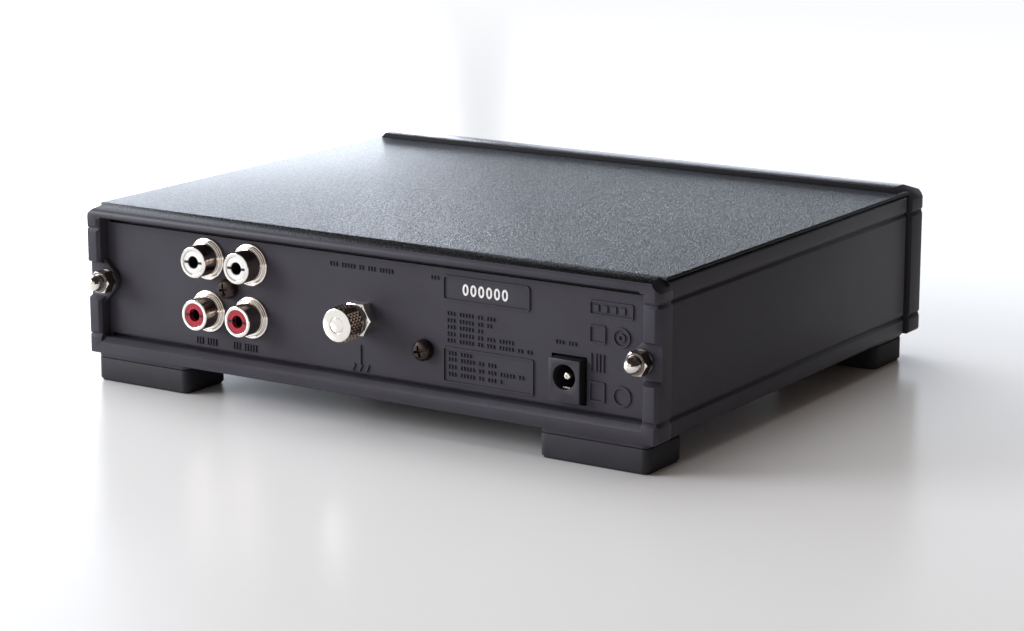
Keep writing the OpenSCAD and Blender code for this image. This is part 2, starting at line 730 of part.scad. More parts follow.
module film_capacitors() color([0.7, 0.25, 0.1]) place()
    for (i = [0 : 5]) translate([jack_x + film_pitch * (i - 2.5), board_back - film_back, board_top])
        box([-film_w / 2, -film_l / 2, 0], [film_w / 2, film_l / 2, film_h]);

// Eight-legged chips, one for each channel
module amplifier_chips() color([0.1, 0.1, 0.1]) place()
    for (i = [-1, 1]) translate([jack_x + chip_pitch / 2 * i, board_back - chip_back, board_top]) {
        box([-chip_w / 2, -chip_l / 2, 1], [chip_w / 2, chip_l / 2, 4.2]);
        for (s = [-1, 1], k = [-1.5 : 1 : 1.5]) translate([s * (chip_w / 2 + 0.3), k * 2.54, 0])
            box([-0.45, -0.4, 0], [0.45, 0.4, 2.6]);
    }

module resistors() color([0.35, 0.55, 0.75]) place()
    for (i = [0 : 9])
        translate([jack_x + resistor_pitch * (i - 4.5), board_back - resistor_back, board_top]) {
        bar_y(0, resistor_r, -resistor_l / 2, resistor_l / 2, resistor_r);
        for (s = [-1, 1]) translate([0, s * (resistor_l / 2 + 1), 0])
            box([-0.3, -1.1, 0], [0.3, 1.1, resistor_r + 0.2]);
    }

sink_y = board_back - sink_back; // face of the heat sink that carries the regulators

module voltage_regulators() color([0.12, 0.12, 0.12]) place()
    for (i = [-1, 1]) translate([inlet_x + 22 + regulator_pitch / 2 * i, sink_y, board_top]) {
        box([-regulator_w / 2, -4.5, 3], [regulator_w / 2, 0, regulator_h]);
        for (k = [-1, 0, 1]) box([2.54 * k - 0.4, -2.4, 0], [2.54 * k + 0.4, -1.6, 3.5]);
    }

// Finned heat sink, standing on the board
module heat_sink() color([0.3, 0.3, 0.32]) place() translate([inlet_x + 22, sink_y, board_top]) {
    box([-sink_w / 2, 0, 0], [sink_w / 2, 2.2, sink_h]);
    for (i = [-3 : 3]) translate([i * (sink_w - 2) / 6, 0, 0]) box([-0.8, 2, 0], [0.8, sink_d, sink_h]);
}

module muting_relay() color([0.2, 0.3, 0.6]) place()
    translate([jack_x, block_y - 4, board_top]) box([-relay_w / 2, -relay_d, 0], [relay_w / 2, 0, relay_h]);

// ---- one line for each piece ----

lower_case();
top_cover();
rear_bezel();
front_bezel();
rear_panel();
front_fascia();
foot(1, true);  // foot_rear_left
foot(-1, true);  // foot_rear_right
foot(1, false);  // foot_front_left
foot(-1, false);  // foot_front_right
tie_rods();
dome_nuts();
nut_washers();
phono_block();
phono_shell(1, 1);  // input_shell_left
phono_shell(1, -1);  // input_shell_right
phono_shell(-1, 1);  // output_shell_left
phono_shell(-1, -1);  // output_shell_right
phono_insert(1, 1);  // input_insert_left
phono_insert(1, -1);  // input_insert_right
phono_insert(-1, 1);  // output_insert_left
phono_insert(-1, -1);  // output_insert_right
phono_contacts();
panel_screws();
panel_bracket();
ground_stud();
ground_lug();
ground_hex_nut();
ground_washer();
ground_thumb_nut();
inlet_housing();
inlet_pin();
inlet_contacts();
circuit_board();
board_screws();
power_switch();
switch_plunger();
power_button();
light_guide();
indicator_lamp();
electrolytic_capacitors();
film_capacitors();
amplifier_chips();
resistors();
voltage_regulators();
heat_sink();
muting_relay();
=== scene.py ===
"""Phono preamp: finishes, moulded and turned details, stage and camera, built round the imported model."""

import math
from contextlib import contextmanager
from itertools import product

import bpy
from bpy.props import FloatProperty, FloatVectorProperty, PointerProperty
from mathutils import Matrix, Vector


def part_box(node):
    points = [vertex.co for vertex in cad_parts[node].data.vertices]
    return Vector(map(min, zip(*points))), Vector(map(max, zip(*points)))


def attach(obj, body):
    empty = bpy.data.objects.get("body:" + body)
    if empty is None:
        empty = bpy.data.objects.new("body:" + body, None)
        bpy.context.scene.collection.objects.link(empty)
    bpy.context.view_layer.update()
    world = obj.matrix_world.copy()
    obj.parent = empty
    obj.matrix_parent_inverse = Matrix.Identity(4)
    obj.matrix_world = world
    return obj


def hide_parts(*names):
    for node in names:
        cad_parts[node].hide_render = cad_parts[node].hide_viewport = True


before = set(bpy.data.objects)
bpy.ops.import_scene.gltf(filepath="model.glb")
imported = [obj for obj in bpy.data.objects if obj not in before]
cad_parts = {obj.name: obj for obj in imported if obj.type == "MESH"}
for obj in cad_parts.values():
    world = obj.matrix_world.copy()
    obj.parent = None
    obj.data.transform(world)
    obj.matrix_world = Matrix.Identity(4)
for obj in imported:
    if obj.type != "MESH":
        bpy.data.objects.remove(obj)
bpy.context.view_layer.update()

bl_info = {
    "name": "Phono preamp",
    "version": (1, 0, 0),
    "blender": (4, 5, 0),
    "location": "3D View > Sidebar > Preamp",
    "description": "Dresses the packed phono preamp with modelled details and procedural finishes",
    "category": "Object",
}

MM = 0.001
REAR_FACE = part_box("rear_bezel")[1].y
PANEL_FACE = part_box("rear_panel")[1].y
WINDOW_TOP, WINDOW_FOOT = 45.6 * MM, 12.3 * MM
WINDOW_HALF = 84.6 * MM
SUNK = 0.1 * MM  # how far the marks go into the panel
CROWN_FOOT = 46 * MM  # no face of a bezel's crown lies below it
CROWN_EDGE_Z = 47.45 * MM  # where the rear bezel's crown meets its top rail
TERMINAL_X = 0.0
CAMERA_PLACE = (-0.4197, 0.6418, 0.1926)
CAMERA_VIEW = Vector((0.5313, -0.8167, -0.2253))
AIM = Vector((0, 0, 0.02))  # where the lamps point


def box_axis(node):
    """The two corners of a node's box, and the x and z of its middle."""
    low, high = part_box(node)
    return low, high, (low.x + high.x) / 2, (low.z + high.z) / 2


TERMINAL_Z = box_axis("ground_hex_nut")[3]


# ---- sizes and colours that a user would change ----

def length(name, description, millimetres):
    return FloatProperty(name=name, description=description, default=millimetres * MM, min=0.0,
                         precision=5, subtype="DISTANCE", unit="LENGTH")


def colour(name, description, rgb):
    return FloatVectorProperty(name=name, description=description, default=rgb, size=3,
                               min=0.0, max=1.0, subtype="COLOR")


def power(name, description, watts):
    return FloatProperty(name=name, description=description, default=watts, min=0.0, unit="POWER")


class PreampCaseLook(bpy.types.PropertyGroup):
    plastic: colour("Moulded plastic", "Colour of the bezels, panel and lower case", (0.033, 0.031, 0.041))
    plastic_grain: length("Plastic grain", "Size of the fine grain in the moulded plastic", 0.22)
    cover: colour("Cover paint", "Colour of the textured paint on the top cover", (0.075, 0.085, 0.105))
    cover_grain: length("Paint grain", "Size of the grains in the cover's paint", 0.55)
    rubber: colour("Rubber", "Colour of the feet", (0.014, 0.014, 0.019))
    edge: length("Edge radius", "Rounding of the case's moulded edges", 0.25)
    crown_edge: length("Crown radius", "Rounding between the rear bezel's crown and its top rail", 0.9)
    gap: length("Panel gap", "Visible width of the groove above and below the connector panel", 0.75)


class PreampFittingLook(bpy.types.PropertyGroup):
    plating: colour("Plating", "Colour of the bright plated metal", (0.88, 0.84, 0.79))
    lip: length("Socket lip", "Rounding of the socket barrel's lip", 0.3)
    knurl_depth: length("Knurl depth", "Depth of the thumb nut's diamond knurl", 0.5)
    # Painted reflection: the barrels are plated like the rest of the shell; this darker, warmer colour
    # stands in for the dark surroundings they mirror.
    barrel: colour("Barrel", "Colour of the warmer plating round the socket barrels", (0.50, 0.41, 0.36))
    # Painted reflection and shade: the knurl is plated like the rest of the nut; this darker brown stands in
    # for the dark surroundings its diamonds mirror.
    knurl: colour("Knurl", "Colour of the darker metal in the thumb nut's knurl", (0.42, 0.32, 0.26))
    white: colour("White insert", "Colour of the upper sockets' inserts", (0.93, 0.93, 0.92))
    red: colour("Red insert", "Colour of the lower sockets' inserts", (0.42, 0.014, 0.035))
    screw: colour("Screw", "Colour of the dark panel screws", (0.05, 0.036, 0.032))


class PreampMarks(bpy.types.PropertyGroup):
    height: length("Mark height", "How far the moulded marks stand out of the panel", 0.4)
    line: length("Line width", "Width of the moulded lines", 0.45)
    ink: colour("Number ink", "Colour of the printed number", (0.90, 0.90, 0.90))


class PreampStage(bpy.types.PropertyGroup):
    lens: FloatProperty(name="Lens", description="Focal length of the camera, on a 36 mm sensor",
                        default=99.754, min=10.0, unit="CAMERA")
    floor: colour("Floor", "Colour of the floor", (0.715, 0.722, 0.725))
    key: power("Key", "Power of the large soft lamp behind the left side", 10.5)
    fill: power("Fill", "Power of the lamp in front of the left side", 10.8)
    top: power("Top", "Power of the soft lamp above", 17.5)


# ---- modelling by operators ----

def set_all(thing, **values):
    for key, value in values.items():
        setattr(thing, key, value)


def added(operator, **values):
    """The object that an add operator makes, with nothing else selected."""
    bpy.ops.object.select_all(action="DESELECT")
    operator(**values)
    return bpy.context.view_layer.objects.active


def pick(*pieces):
    """Only these objects are selected, and the first is active."""
    bpy.ops.object.select_all(action="DESELECT")
    for piece in pieces:
        piece.hide_set(False)
        piece.select_set(True)
    bpy.context.view_layer.objects.active = pieces[0]
    return pieces[0]


@contextmanager
def editing(piece, kind="VERT"):
    """Edit mode on one piece, with vertices, edges or faces as what is selected."""
    pick(piece)
    bpy.context.tool_settings.mesh_select_mode = [kind == name for name in ("VERT", "EDGE", "FACE")]
    bpy.ops.object.mode_set(mode="EDIT")
    yield piece
    bpy.ops.object.mode_set(mode="OBJECT")


def select_whole():
    bpy.ops.mesh.select_all(action="SELECT")


def choose(piece, kind, test):
    """Selects the vertices, edges or faces whose middle (and normal, for faces) pass the test."""
    mesh = piece.data
    for group in (mesh.vertices, mesh.edges, mesh.polygons):
        group.foreach_set("select", [False] * len(group))
    if kind == "VERT":
        for vertex in mesh.vertices:
            vertex.select = test(vertex.co)
    elif kind == "EDGE":
        for edge in mesh.edges:
            edge.select = all(test(mesh.vertices[v].co) for v in edge.vertices)
    else:
        for face in mesh.polygons:
            face.select = test(face.center, face.normal)


def settle(piece, name):
    """Leaves the object at the origin, with its place in its mesh."""
    pick(piece)
    bpy.ops.object.transform_apply(location=True, rotation=True, scale=True)
    piece.name = name
    piece.data.name = name
    return piece


def clean(piece, join=0.00001):
    """Merges doubles, drops faces without area and turns the normals outwards."""
    with editing(piece):
        select_whole()
        bpy.ops.mesh.remove_doubles(threshold=join)
        bpy.ops.mesh.dissolve_degenerate(threshold=join / 2)
        select_whole()
        bpy.ops.mesh.normals_make_consistent(inside=False)
    return piece


def smooth(piece, degrees=32):
    pick(piece)
    bpy.ops.object.shade_smooth_by_angle(angle=math.radians(degrees))
    return piece


def apply_modifier(piece, kind, **values):
    pick(piece)
    modifier = piece.modifiers.new(kind.title(), kind)
    set_all(modifier, **values)
    bpy.ops.object.modifier_apply(modifier=modifier.name)
    return piece


def round_edges(piece, width, segments=2, degrees=30):
    return apply_modifier(piece, "BEVEL", width=width, segments=segments, limit_method="ANGLE",
                          angle_limit=math.radians(degrees), miter_outer="MITER_ARC")


def cut(piece, tool, operation="DIFFERENCE"):
    """Cuts the piece with the tool, which is then deleted."""
    apply_modifier(piece, "BOOLEAN", object=tool, operation=operation, solver="EXACT")
    bpy.data.objects.remove(tool)
    return piece


def joined(name, parts):
    pick(*parts)
    if len(parts) > 1:
        bpy.ops.object.join()
    return settle(bpy.context.view_layer.objects.active, name)


def copy_of(node, name, flat=lambda middle, normal: True):
    """A merged copy of a CAD node's mesh. Flat faces are made whole again where they pass the test."""
    pick(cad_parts[node])
    bpy.ops.object.duplicate()
    piece = bpy.context.view_layer.objects.active
    piece.parent = None
    for key in [k for k in piece.keys() if k.startswith("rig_")]:
        del piece[key]
    piece.name = name
    piece.data.name = name
    piece.data.materials.clear()
    with editing(piece):
        select_whole()
        bpy.ops.mesh.remove_doubles(threshold=0.000002)
    choose(piece, "FACE", flat)
    with editing(piece, "FACE"):
        bpy.ops.mesh.dissolve_limited(angle_limit=math.radians(0.4))
    return piece


def softened(node, name, width, *bevel):
    """A copy of a CAD node's mesh with rounded edges and smooth shading."""
    return smooth(round_edges(copy_of(node, name), width, *bevel))


def block(name, low, high, turn=0.0):
    """A box between two corners, turned about Y through its middle, to be cut, bevelled or joined."""
    low, high = Vector(low), Vector(high)
    piece = added(bpy.ops.mesh.primitive_cube_add, size=1, location=(low + high) / 2, rotation=(0, turn, 0))
    piece.scale = high - low
    return settle(piece, name)


def rod(name, x, z, y0, y1, radius, sides=48, turn=0.0):
    """A round or many-sided bar along Y, turned about its axis."""
    piece = added(bpy.ops.mesh.primitive_cylinder_add, vertices=sides, radius=radius, depth=y1 - y0,
                  location=(x, (y0 + y1) / 2, z), rotation=(math.pi / 2, turn, 0))
    return settle(piece, name)


def turned(name, x, z, profile, steps=64, smooth_angle=32):
    """Turns a closed profile of (radius, y) points round an axis along Y through x and z."""
    piece = added(bpy.ops.mesh.primitive_plane_add, size=MM, location=(0, 0, 0))
    points = [Vector((x + radius, y, z)) for radius, y in profile]
    with editing(piece):
        select_whole()
        bpy.ops.mesh.merge(type="CENTER")
        select_whole()
        bpy.ops.transform.translate(value=points[0])
        for here, there in zip(points, points[1:]):
            bpy.ops.mesh.extrude_region_move(TRANSFORM_OT_translate={"value": there - here})
        select_whole()
        bpy.ops.mesh.spin(steps=steps, angle=math.tau, center=(x, 0, z), axis=(0, 1, 0))
    clean(settle(piece, name))
    return smooth(piece, smooth_angle)


def corner(radius, y, size, start, end, steps=4):
    """Points of a rounded corner in a profile, about its centre, from one angle to another in degrees."""
    return [(radius + size * math.cos(math.radians(start + (end - start) * i / steps)),
             y + size * math.sin(math.radians(start + (end - start) * i / steps)))
            for i in range(steps + 1)]


def ring_frame(name, x0, x1, z0, z1, line, height, radius):
    """A moulded outline on the connector panel, with rounded corners."""
    piece = added(bpy.ops.mesh.primitive_plane_add, size=1, rotation=(-math.pi / 2, 0, 0),
                  location=((x0 + x1) / 2, PANEL_FACE + height, (z0 + z1) / 2))
    piece.scale = (abs(x1 - x0), abs(z1 - z0), 1)
    settle(piece, name)
    with editing(piece):
        select_whole()
        bpy.ops.mesh.bevel(offset=radius, segments=4, affect="VERTICES")
    with editing(piece, "FACE"):
        select_whole()
        bpy.ops.mesh.inset(thickness=line)
        bpy.ops.mesh.delete(type="FACE")
        select_whole()
        bpy.ops.mesh.extrude_region_move(TRANSFORM_OT_translate={"value": (0, -height - SUNK, 0)})
    return clean(piece)


def bar(name, x0, x1, z0, z1, height):
    """A moulded bar on the connector panel, with softened edges."""
    piece = block(name, (min(x0, x1), PANEL_FACE - SUNK, min(z0, z1)),
                  (max(x0, x1), PANEL_FACE + height, max(z0, z1)))
    return round_edges(piece, min(0.12 * MM, height / 3), 1)


# ---- finishes ----

class Field:
    """A socket with arithmetic: an expression on it adds its Math nodes."""

    def __init__(self, finish, socket):
        self.finish = finish
        self.socket = socket

    def _math(self, operation, *values):
        return self.finish.add("ShaderNodeMath", {"operation": operation}, *values)

    def __add__(self, other):
        return self._math("ADD", self, other)

    __radd__ = __add__

    def __sub__(self, other):
        return self._math("SUBTRACT", self, other)

    def __rsub__(self, other):
        return self._math("SUBTRACT", other, self)

    def __mul__(self, other):
        return self._math("MULTIPLY", self, other)

    __rmul__ = __mul__

    def __pow__(self, other):
        return self._math("POWER", self, other)

    def sine(self):
        return self._math("SINE", self)

    def ramp(self, low, high, to_low=0.0, to_high=1.0):
        """Maps low..high to to_low..to_high, with soft ends."""
        return self.finish.add("ShaderNodeMapRange", {"interpolation_type": "SMOOTHSTEP"},
                               self, low, high, to_low, to_high)


class Finish:
    """A material made in code, on Object coordinates, or the world round the object."""

    def __init__(self, name, group="materials"):
        self.made = getattr(bpy.data, group).new(name)
        self.made.use_nodes = True
        self.tree = self.made.node_tree
        self.tree.nodes.clear()
        self.place = self.add("ShaderNodeTexCoord", output="Object")

    def add(self, kind, settings=None, *inputs, output=0, **named):
        """Adds a node, sets it up, and gives its sockets values or links."""
        node = self.tree.nodes.new(kind)
        set_all(node, **(settings or {}))
        for key, value in [*enumerate(inputs), *named.items()]:
            socket = node.inputs[key.replace("_", " ") if isinstance(key, str) else key]
            if isinstance(value, Field):
                self.tree.links.new(value.socket, socket)
            elif value is not None:
                socket.default_value = (*value, 1) if socket.type == "RGBA" else value
        return Field(self, node.outputs[output]) if node.outputs else None

    def noise(self, size, detail=2.0, roughness=0.5, place=None):
        return self.add("ShaderNodeTexNoise", None, Vector=place or self.place, Scale=1 / size,
                        Detail=detail, Roughness=roughness, output="Fac")

    def cells(self, size, place=None):
        return self.add("ShaderNodeTexVoronoi", None, Vector=place or self.place, Scale=1 / size,
                        output="Distance")

    def mix(self, amount, low, high):
        """A colour between two colours, which are the node's inputs 6 and 7."""
        return self.add("ShaderNodeMix", {"data_type": "RGBA"}, amount, *[None] * 5, low, high, output=2)

    def axes(self):
        """The three Object coordinates."""
        split = self.add("ShaderNodeSeparateXYZ", None, self.place).socket.node
        return [Field(self, output) for output in split.outputs]

    def facing_up(self):
        """The Z part of the surface's normal."""
        normal = self.add("ShaderNodeNewGeometry", output="Normal")
        return self.add("ShaderNodeSeparateXYZ", None, normal, output=2)

    def bump(self, height, depth):
        """Normals for a height field of 0 to 1 with the given depth."""
        return self.add("ShaderNodeBump", None, Height=height, Distance=depth, Strength=1.0, output="Normal")

    def shader(self, colour, roughness, normal=None, **constants):
        return self.add("ShaderNodeBsdfPrincipled", None, Base_Color=colour, Roughness=roughness,
                        Normal=normal, **constants)

    def closed(self, shader, output="ShaderNodeOutputMaterial"):
        """The finished material or world."""
        self.add(output, None, shader)
        return self.made

    def surface(self, *values, **constants):
        return self.closed(self.shader(*values, **constants))


def shade(rgb, amount):
    return tuple(min(1.0, c * amount) for c in rgb)


def moulded_plastic(name, rgb, grain, rough=0.5, shine=0.32, depth=0.012):
    """Black plastic from a spark-eroded mould: a fine grain, stronger where it faces up."""
    finish = Finish(name)
    fine = finish.noise(grain, 3, 0.6)
    broad = finish.noise(14 * MM, 2)
    tone = finish.mix(broad.ramp(0.3, 0.7), shade(rgb, 0.88), shade(rgb, 1.15))
    speck = finish.mix(fine.ramp(0.35, 0.75), tone, shade(rgb, 1.5))
    up = finish.facing_up().ramp(0.5, 0.95)
    height = fine * (1 + up * 2.0)
    roughness = rough + 0.08 * (broad - 0.5) + 0.1 * (fine - 0.5)
    return finish.surface(speck, roughness, finish.bump(height, depth * MM), Specular_IOR_Level=shine)


def textured_paint(name, rgb, grain, rough=0.34, shine=0.5, relief=0.6):
    """Grained paint: packed grains, longer along Y and flatter towards +X, with dull hollows between that
    carry painted shade in their colour.
    """
    finish = Finish(name)
    drawn = finish.add("ShaderNodeMapping", None, Vector=finish.place, Scale=(1, 0.5, 1))
    warp = finish.noise(grain, 5, 0.75, drawn)
    grains = finish.cells(grain * 0.7, drawn)
    height = 0.55 * warp + 0.45 * (1 - grains)
    across = finish.axes()[0]
    worn = (across * -1).ramp(-0.09, 0.05, 0.1, 1)
    broad = finish.noise(30 * MM, 3)
    tone = finish.mix(broad.ramp(0.3, 0.7), shade(rgb, 0.92), shade(rgb, 1.1))
    raised = height.ramp(0.44, 0.6)
    # Painted shade: the hollows between the grains are darkened to three tenths of the paint's colour.
    shaded_hollows = finish.mix(raised, shade(rgb, 0.3), tone)
    gloss = rough + 0.02 + 0.2 * (0.5 - raised) * worn
    return finish.surface(shaded_hollows, gloss, finish.bump(height * worn, relief * MM), Specular_IOR_Level=shine)


def turned_metal(name, rgb, x, z, rough=0.1, rings=0.22):
    """Bright plating over turned metal, with faint rings about its axis."""
    finish = Finish(name)
    across, _, up = finish.axes()
    radius = ((across - x) ** 2 + (up - z) ** 2) ** 0.5
    cloud = finish.noise(2.4 * MM, 3)
    tracks = (radius * (math.tau / (rings * MM)) + 3 * cloud).sine()
    tone = finish.mix(cloud, shade(rgb, 0.93), rgb)
    return finish.surface(tone, rough + 0.06 * cloud + 0.02 * tracks,
                          finish.bump(tracks, 0.0009 * MM), Metallic=1.0)


def plain_metal(name, rgb, rough=0.28):
    """Drawn or stamped metal with fine streaks and small stains."""
    finish = Finish(name)
    stains = finish.noise(1.8 * MM, 4)
    streak = finish.noise(0.25 * MM, 2)
    tone = finish.mix(stains.ramp(0.35, 0.7), shade(rgb, 0.8), rgb)
    return finish.surface(tone, rough + 0.12 * stains, finish.bump(streak, 0.004 * MM), Metallic=1.0)


def glossy_plastic(name, rgb, rough=0.22, coat=0.4):
    """Smooth injection-moulded plastic with faint flow marks."""
    finish = Finish(name)
    flow = finish.noise(3 * MM, 3)
    fine = finish.noise(0.3 * MM, 2)
    tone = finish.mix(flow.ramp(0.3, 0.7), shade(rgb, 0.92), shade(rgb, 1.04))
    return finish.surface(tone, rough + 0.08 * flow, finish.bump(fine, 0.003 * MM),
                          Coat_Weight=coat, Coat_Roughness=0.08)


def clear_plastic(name, rgb):
    finish = Finish(name)
    flow = finish.noise(2 * MM, 2)
    tone = finish.mix(flow, shade(rgb, 0.9), rgb)
    return finish.surface(tone, 0.1 + 0.05 * flow, finish.bump(flow, 0.003 * MM),
                          Transmission_Weight=0.8, IOR=1.49)


def board_lacquer(name, rgb):
    """Solder mask over copper tracks, which show as slightly raised, lighter paths."""
    finish = Finish(name)
    tracks = finish.cells(4.5 * MM).ramp(0.30, 0.36)
    weave = finish.noise(0.5 * MM, 2)
    tone = finish.mix(tracks, shade(rgb, 0.75), shade(rgb, 1.5))
    return finish.surface(tone, 0.3 + 0.1 * weave, finish.bump(tracks + 0.2 * weave, 0.035 * MM))


# ---- wiring pieces to the frame ----

def mount(piece, material, slot, *nodes, body="case"):
    """Gives a finished piece its material and body, and hides the nodes that it stands for; its slot is not
    used.
    """
    piece.data.materials.clear()
    piece.data.materials.append(material)
    for face in piece.data.polygons:
        face.material_index = 0
    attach(piece, body)
    if nodes:
        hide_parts(*nodes)
    return piece


def add_finish(piece, material, test):
    """Gives a mounted piece one more material, on the faces that pass the test."""
    piece.data.materials.append(material)
    for face in piece.data.polygons:
        if test(face):
            face.material_index = len(piece.data.materials) - 1


def dress(material, *nodes):
    """Gives carried-over CAD nodes a material."""
    for node in nodes:
        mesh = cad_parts[node].data
        mesh.materials.clear()
        mesh.materials.append(material)


def mount_plastic(piece, *nodes):
    return mount(piece, case_plastic(), "case_plastic", *nodes)


def off_axis(face, x, z):
    """How far the middle of a face is from an axis along Y."""
    return math.hypot(face.center.x - x, face.center.z - z)


def case_plastic():
    look = bpy.context.scene.preamp_case
    found = bpy.data.materials.get("moulded_black")
    return found or moulded_plastic("moulded_black", look.plastic, look.plastic_grain)


# ---- one operator for each piece or group ----

class PREAMP_OT_case(bpy.types.Operator):
    """Models the softened edges of the lower case and the painted top cover"""
    bl_idname = "preamp.case"
    bl_label = "Case and cover"

    def execute(self, context):
        look = context.scene.preamp_case
        mount_plastic(softened("lower_case", "case_shell", 0.16 * MM, 2, 35), "lower_case")
        cover = softened("top_cover", "cover_sheet", 0.6 * MM, 4)
        paint = textured_paint("cover_paint", look.cover, look.cover_grain)
        mount(cover, paint, "cover_paint", "top_cover")
        # Painted shade: the cover's side faces near its top get a near-black copy of the cover paint, to
        # read as the dark seam against the case.
        flank_shade = moulded_plastic("cover_flank", shade(look.cover, 0.08), look.plastic_grain, 0.6)
        add_finish(cover, flank_shade, lambda face: abs(face.normal.x) > 0.3 and face.center.z > 44 * MM)
        return {"FINISHED"}


class PREAMP_OT_bezels(bpy.types.Operator):
    """Models the two moulded end bezels, with the rounded crown edge of the rear one"""
    bl_idname = "preamp.bezels"
    bl_label = "End bezels"

    def execute(self, context):
        look = context.scene.preamp_case
        rear = copy_of("rear_bezel", "bezel_rear", lambda middle, normal: normal.y > -0.9)
        choose(rear, "EDGE", lambda point: (abs(point.y - REAR_FACE) < 0.02 * MM
                                            and abs(point.z - CROWN_EDGE_Z) < 0.05 * MM))
        with editing(rear, "EDGE"):
            bpy.ops.mesh.bevel(offset=look.crown_edge, segments=5, affect="EDGES")
        round_edges(rear, look.edge)
        mount_plastic(smooth(rear), "rear_bezel")

        def in_crown(face):
            back = face.center.y < REAR_FACE - 0.95 * MM
            return back and face.normal.z > 0.3 and face.center.z > CROWN_FOOT

        # Painted shade: the crown is the bezel's own plastic, given a fifth of its colour; the faces at its
        # corners get two fifths.
        shaded_crown = textured_paint("crown_grain", shade(look.plastic, 0.2), look.cover_grain, 0.24, 0.2, 0.08)
        add_finish(rear, shaded_crown, lambda face: in_crown(face) and abs(face.normal.x) < 0.1)
        plain = moulded_plastic("crown_corner", shade(look.plastic, 0.4), look.plastic_grain)
        add_finish(rear, plain, lambda face: in_crown(face) and abs(face.normal.x) >= 0.1)
        front = softened("front_bezel", "bezel_front", look.edge)
        mount_plastic(front, "front_bezel")
        # Painted shade: the rear-facing step of the front bezel's crown gets a near-black copy of the
        # plastic.
        step = moulded_plastic("crown_step", shade(look.plastic, 0.15), look.plastic_grain, 0.7)
        add_finish(front, step, lambda face: face.normal.y > 0.5 and face.center.z > CROWN_FOOT)
        sheen = moulded_plastic("smooth_crown", look.plastic, look.plastic_grain, 0.24, 1.0)
        add_finish(front, sheen, lambda face: (face.normal.z > 0.6 and abs(face.normal.x) < 0.2
                                               and face.center.z > CROWN_FOOT + MM))
        dress(case_plastic(), "front_fascia")
        panel = copy_of("rear_panel", "connector_panel", lambda middle, normal: False)
        hidden = 1.1 * MM  # of the panel's top, behind the rail as the camera sees it
        for low, high in ((WINDOW_TOP - hidden - look.gap, WINDOW_TOP + 0.2 * MM),
                          (WINDOW_FOOT - 0.2 * MM, WINDOW_FOOT + look.gap)):
            cut(panel, block("groove", (-WINDOW_HALF, PANEL_FACE - 1.5 * MM, low),
                             (WINDOW_HALF, PANEL_FACE + MM, high)))
        mount_plastic(panel, "rear_panel")
        return {"FINISHED"}


class PREAMP_OT_feet(bpy.types.Operator):
    """Models the four rubber feet with softened edges and a narrow groove under the case"""
    bl_idname = "preamp.feet"
    bl_label = "Feet"

    def execute(self, context):
        finish = Finish("foot_rubber")
        rgb = context.scene.preamp_case.rubber
        dust = finish.noise(5 * MM, 4)
        grain = finish.noise(0.3 * MM, 2)
        tone = finish.mix(dust.ramp(0.35, 0.75), rgb, shade(rgb, 1.5))
        rubber = finish.surface(tone, 0.62 + 0.1 * dust, finish.bump(grain, 0.012 * MM))
        for node in sorted(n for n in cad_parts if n.startswith("foot_")):
            foot = copy_of(node, node.replace("foot", "rubber"))
            choose(foot, "FACE", lambda middle, normal: normal.z > 0.9 and middle.z > 3 * MM)
            with editing(foot, "FACE"):
                bpy.ops.transform.translate(value=(0, 0, -0.35 * MM))
                bpy.ops.mesh.inset(thickness=0.5 * MM)
                bpy.ops.mesh.extrude_region_move(TRANSFORM_OT_translate={"value": (0, 0, 0.35 * MM)})
            round_edges(foot, 0.15 * MM)
            mount(smooth(foot), rubber, "foot_rubber", node)
        return {"FINISHED"}


